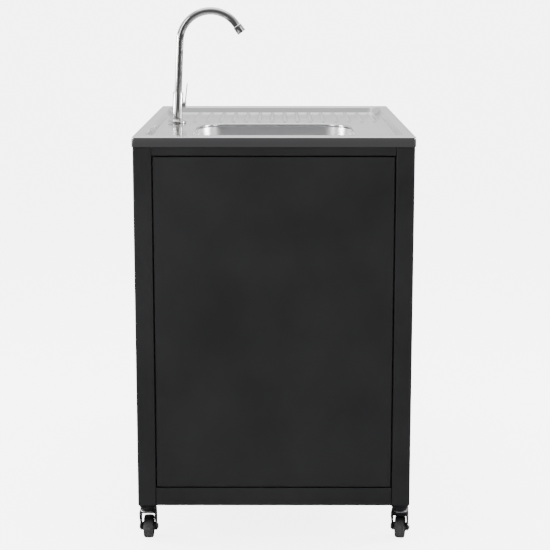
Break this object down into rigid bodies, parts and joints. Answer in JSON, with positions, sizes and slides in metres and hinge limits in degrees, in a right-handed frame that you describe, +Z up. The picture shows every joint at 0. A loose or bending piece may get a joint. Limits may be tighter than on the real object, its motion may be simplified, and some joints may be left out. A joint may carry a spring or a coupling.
{
  "type": "portable handwash sink",
  "caption": "Self-contained handwash sink: a pressed steel top with bowl and drainboard on a black two-door cabinet with swivel casters, tanks, pump and battery.",
  "frame": {"origin": "on the floor below the centre of the worktop", "axes": "+Z up; +X along the worktop from the bowl end to the drainboard end; -Y towards the doors and the user"},
  "size_m": [0.8, 0.6066, 1.1644],
  "materials": {
    "worktop_steel": "brushed along the worktop's length",
    "bowl_steel": "satin, drawn and polished",
    "tap_steel": "satin nickel",
    "black_paint": "fine-textured black powder coat",
    "black_plastic": "fine grain",
    "zinc_steel": "bright zinc plate",
    "wheel_rubber": "matt",
    "tank_natural": "natural polyethylene, slightly translucent",
    "tank_grey": "grey polyethylene",
    "hose_grey": "matt",
    "hose_braid": "braided sheath",
    "battery_case": "semi-gloss"
  },
  "bodies": {
    "cabinet": {"worktop": "worktop_steel", "sink_bowl": "bowl_steel", "strainer_body": "bowl_steel", "tap_flange": "tap_steel", "tap_body": "tap_steel", "tap_nut": "zinc_steel", "hinge_rod_left": "zinc_steel", "hinge_rod_right": "zinc_steel", "pump_motor": "zinc_steel", "post_front_left": "black_paint", "post_front_right": "black_paint", "post_rear_left": "black_paint", "post_rear_right": "black_paint", "top_rail_front": "black_paint", "top_rail_rear": "black_paint", "top_rail_left": "black_paint", "top_rail_right": "black_paint", "base_pan": "black_paint", "side_panel_left": "black_paint", "side_panel_right": "black_paint", "back_panel": "black_paint", "door_catch": "black_plastic", "drain_locknut": "black_plastic", "drain_tailpiece": "black_plastic", "pump_head": "black_plastic", "caster_front_left_stem": "black_plastic", "caster_rear_left_stem": "black_plastic", "caster_front_right_stem": "black_plastic", "caster_rear_right_stem": "black_plastic", "fresh_tank": "tank_natural", "waste_tank": "tank_grey", "waste_hose": "hose_grey", "suction_hose": "hose_grey", "supply_hose": "hose_braid", "pump_lead": "wheel_rubber", "battery": "battery_case"},
    "door_left": {"door_left": "black_paint", "door_pull_left": "black_plastic"},
    "door_right": {"door_right": "black_paint", "door_pull_right": "black_plastic"},
    "spout": {"tap_spout": "tap_steel", "tap_aerator": "tap_steel"},
    "tap_lever": {"tap_lever": "tap_steel"},
    "strainer_basket": {"strainer_basket": "bowl_steel"},
    "fresh_tank_cap": {"fresh_tank_cap": "black_plastic"},
    "waste_tank_cap": {"waste_tank_cap": "black_plastic"},
    "caster_front_left_swivel": {"caster_front_left_fork": "black_plastic", "caster_front_left_axle": "zinc_steel"},
    "caster_front_left_wheel": {"caster_front_left_wheel": "wheel_rubber"},
    "caster_front_left_pedal": {"caster_front_left_pedal": "black_plastic"},
    "caster_rear_left_swivel": {"caster_rear_left_fork": "black_plastic", "caster_rear_left_axle": "zinc_steel"},
    "caster_rear_left_wheel": {"caster_rear_left_wheel": "wheel_rubber"},
    "caster_front_right_swivel": {"caster_front_right_fork": "black_plastic", "caster_front_right_axle": "zinc_steel"},
    "caster_front_right_wheel": {"caster_front_right_wheel": "wheel_rubber"},
    "caster_front_right_pedal": {"caster_front_right_pedal": "black_plastic"},
    "caster_rear_right_swivel": {"caster_rear_right_fork": "black_plastic", "caster_rear_right_axle": "zinc_steel"},
    "caster_rear_right_wheel": {"caster_rear_right_wheel": "wheel_rubber"}
  },
  "joints": [
    {"name": "door_left_hinge", "type": "hinge", "parent": "cabinet", "child": "door_left", "pos_m": [-0.3465, -0.289, 0.5], "axis": [0, 0, -1], "range_deg": [0, 100]},
    {"name": "door_right_hinge", "type": "hinge", "parent": "cabinet", "child": "door_right", "pos_m": [0.3465, -0.289, 0.5], "axis": [0, 0, 1], "range_deg": [0, 100]},
    {"name": "spout_swivel", "type": "hinge", "parent": "cabinet", "child": "spout", "pos_m": [0.09, 0.23495, 0.95393], "axis": [0, -0.0436, 0.999], "continuous": true},
    {"name": "tap_lever_turn", "type": "hinge", "parent": "cabinet", "child": "tap_lever", "pos_m": [0.09, 0.23604, 0.92896], "axis": [0, 0.999, 0.0436], "range_deg": [0, 90]},
    {"name": "strainer_basket_lift", "type": "slide", "parent": "cabinet", "child": "strainer_basket", "axis": [0, 0, 1], "range_m": [0, 0.15]},
    {"name": "fresh_tank_cap_turn", "type": "hinge", "parent": "cabinet", "child": "fresh_tank_cap", "pos_m": [0.095, -0.04, 0.48], "axis": [0, 0, 1], "continuous": true},
    {"name": "waste_tank_cap_turn", "type": "hinge", "parent": "cabinet", "child": "waste_tank_cap", "pos_m": [-0.165, -0.04, 0.48], "axis": [0, 0, 1], "continuous": true},
    {"name": "caster_front_left_swivel_turn", "type": "hinge", "parent": "cabinet", "child": "caster_front_left_swivel", "pos_m": [-0.378, -0.278, 0.07], "axis": [0, 0, 1], "continuous": true},
    {"name": "caster_front_left_wheel_roll", "type": "hinge", "parent": "caster_front_left_swivel", "child": "caster_front_left_wheel", "pos_m": [-0.36027, -0.28113, 0.02578], "axis": [0.1736, 0.9848, 0], "continuous": true},
    {"name": "caster_front_left_brake", "type": "hinge", "parent": "caster_front_left_swivel", "child": "caster_front_left_pedal", "pos_m": [-0.378, -0.278, 0.0615], "axis": [0.1736, 0.9848, 0], "range_deg": [0, 14]},
    {"name": "caster_rear_left_swivel_turn", "type": "hinge", "parent": "cabinet", "child": "caster_rear_left_swivel", "pos_m": [-0.378, 0.278, 0.07], "axis": [0, 0, 1], "continuous": true},
    {"name": "caster_rear_left_wheel_roll", "type": "hinge", "parent": "caster_rear_left_swivel", "child": "caster_rear_left_wheel", "pos_m": [-0.36, 0.278, 0.02578], "axis": [0, 1, 0], "continuous": true},
    {"name": "caster_front_right_swivel_turn", "type": "hinge", "parent": "cabinet", "child": "caster_front_right_swivel", "pos_m": [0.378, -0.278, 0.07], "axis": [0, 0, 1], "continuous": true},
    {"name": "caster_front_right_wheel_roll", "type": "hinge", "parent": "caster_front_right_swivel", "child": "caster_front_right_wheel", "pos_m": [0.36004, -0.27926, 0.02578], "axis": [0.0698, -0.9976, 0], "continuous": true},
    {"name": "caster_front_right_brake", "type": "hinge", "parent": "caster_front_right_swivel", "child": "caster_front_right_pedal", "pos_m": [0.378, -0.278, 0.0615], "axis": [0.0698, -0.9976, 0], "range_deg": [0, 14]},
    {"name": "caster_rear_right_swivel_turn", "type": "hinge", "parent": "cabinet", "child": "caster_rear_right_swivel", "pos_m": [0.378, 0.278, 0.07], "axis": [0, 0, 1], "continuous": true},
    {"name": "caster_rear_right_wheel_roll", "type": "hinge", "parent": "caster_rear_right_swivel", "child": "caster_rear_right_wheel", "pos_m": [0.36027, 0.28113, 0.02578], "axis": [-0.1736, -0.9848, 0], "continuous": true}
  ]
}
